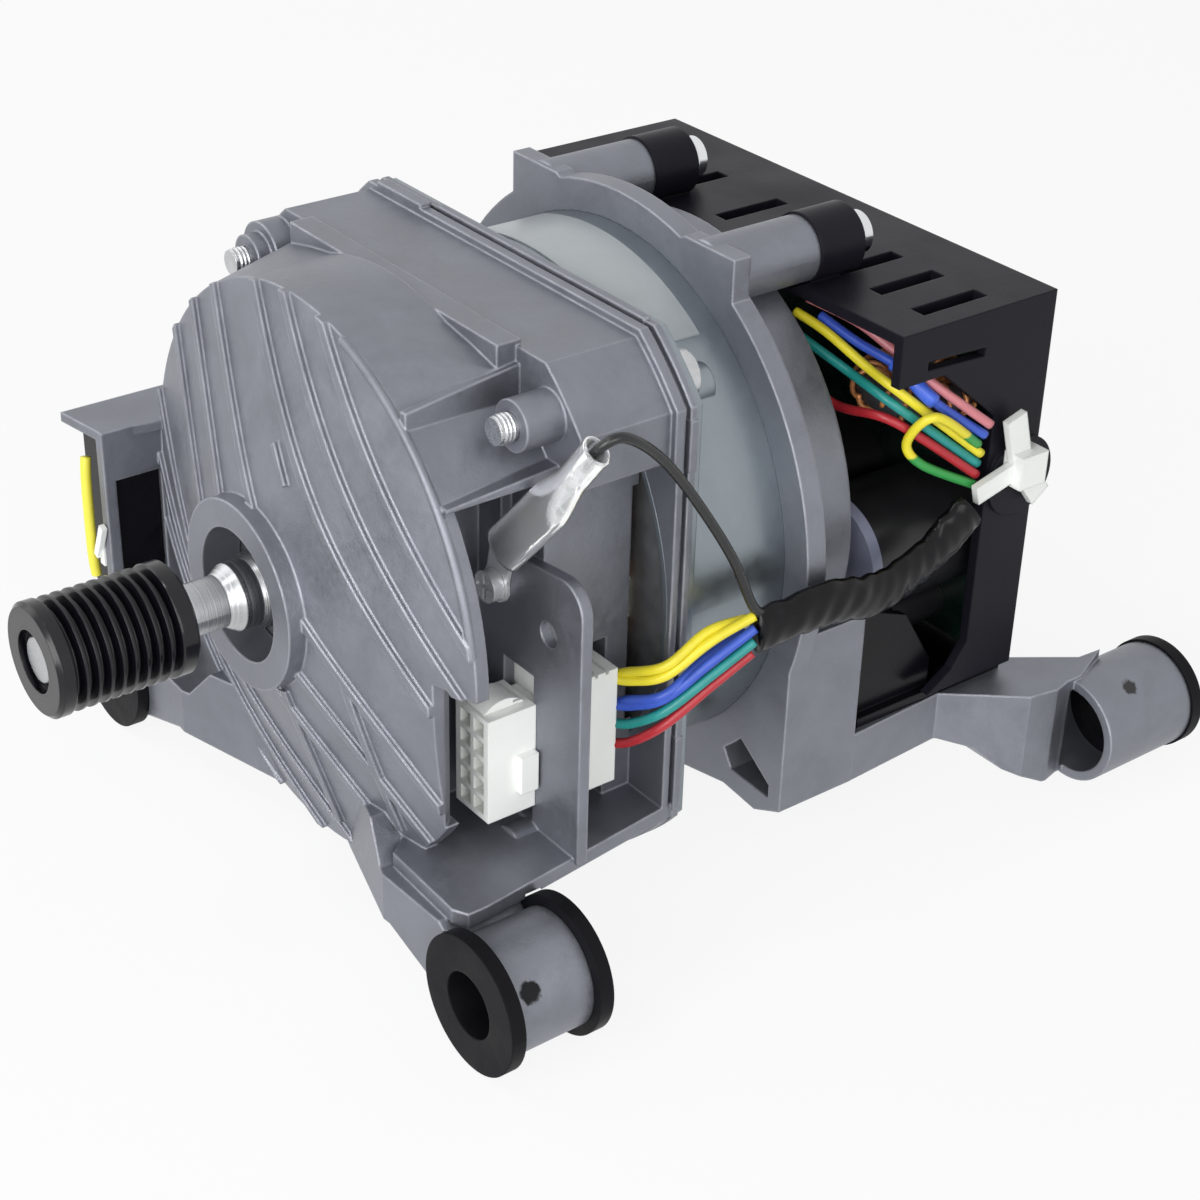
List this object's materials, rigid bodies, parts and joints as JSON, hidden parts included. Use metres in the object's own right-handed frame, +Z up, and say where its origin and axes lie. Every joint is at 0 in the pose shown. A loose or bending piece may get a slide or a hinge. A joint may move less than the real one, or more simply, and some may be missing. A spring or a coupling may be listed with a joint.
{
  "type": "washing machine motor",
  "caption": "Belt-drive washing machine motor: ribbed die-cast end shields, steel shell, ribbed belt pulley, four bushed lugs and a boxed speed controller.",
  "frame": {"origin": "on the shaft axis, at the middle of the belt on the pulley", "axes": "+Y along the shaft from the pulley towards the controller, +X the connector side, +Z up, away from the mounting lugs"},
  "size_m": [0.1636, 0.225, 0.1257],
  "materials": {
    "cast_aluminium": "rough cast",
    "galvanised_steel": "satin",
    "bright_steel": "satin",
    "chrome_steel": "bright",
    "silver_label": "satin",
    "lamination": "satin",
    "copper": "enamelled",
    "coil_plastic": "matte",
    "pulley_black": "gloss",
    "magnet": "matte",
    "rubber_black": "matte",
    "white_nylon": "satin",
    "brass_contact": "bright",
    "clear_sleeve": "clear",
    "black_lead": "satin",
    "yellow_lead": "satin",
    "blue_lead": "satin",
    "green_lead": "satin",
    "red_lead": "satin",
    "pink_lead": "satin",
    "box_black": "satin",
    "board_green": "satin"
  },
  "bodies": {
    "housing": {"front_bracket": "cast_aluminium", "rear_bracket": "cast_aluminium", "stator_shell": "galvanised_steel", "rating_plate": "silver_label", "stator_core": "lamination", "stator_coils": "copper", "slot_insulators": "coil_plastic", "tie_screws": "galvanised_steel", "front_bearing_outer": "bright_steel", "rear_bearing_outer": "bright_steel", "bearing_shields": "bright_steel", "wave_spring": "bright_steel", "front_bushes": "rubber_black", "front_bush_tails": "rubber_black", "rear_bushes": "rubber_black", "connector_plug": "white_nylon", "connector_header": "white_nylon", "connector_terminals": "brass_contact", "connector_latch": "white_nylon", "earth_tab": "bright_steel", "earth_screw": "bright_steel", "earth_receptacle": "bright_steel", "earth_sleeve": "clear_sleeve", "earth_lead": "black_lead", "wire_yellow": "yellow_lead", "wire_blue": "blue_lead", "wire_green": "green_lead", "wire_red": "red_lead", "wire_pink": "pink_lead", "harness_sheath": "black_lead", "cable_tie": "white_nylon", "controller_cover": "box_black", "controller_tray": "box_black", "cover_screws": "chrome_steel", "circuit_board": "board_green", "capacitors": "box_black", "choke_core": "magnet", "choke_winding": "copper", "heat_sink": "cast_aluminium", "power_module": "box_black", "sensor_board": "board_green", "terminal_block": "box_black", "terminal_lead": "yellow_lead", "terminal_tie": "white_nylon"},
    "rotor": {"shaft": "bright_steel", "pulley": "pulley_black", "rotor_core": "lamination", "rotor_magnets": "magnet", "rotor_end_rings": "coil_plastic", "retaining_ring": "lamination", "tacho_magnet": "magnet", "front_bearing_inner": "bright_steel", "rear_bearing_inner": "bright_steel"},
    "front_cage": {"front_bearing_balls": "bright_steel"},
    "rear_cage": {"rear_bearing_balls": "bright_steel"}
  },
  "joints": [
    {"name": "rotor_spin", "type": "hinge", "parent": "housing", "child": "rotor", "pos_m": [0, 0, 0], "axis": [0, 1, 0], "continuous": true},
    {"name": "front_cage_spin", "type": "hinge", "parent": "housing", "child": "front_cage", "pos_m": [0, 0.0405, 0], "axis": [0, 1, 0], "continuous": true},
    {"name": "rear_cage_spin", "type": "hinge", "parent": "housing", "child": "rear_cage", "pos_m": [0, 0.1255, 0], "axis": [0, 1, 0], "continuous": true}
  ],
  "couplings": [
    {"joint": "front_cage_spin", "follows": "rotor_spin", "ratio": 0.375},
    {"joint": "rear_cage_spin", "follows": "rotor_spin", "ratio": 0.358}
  ]
}
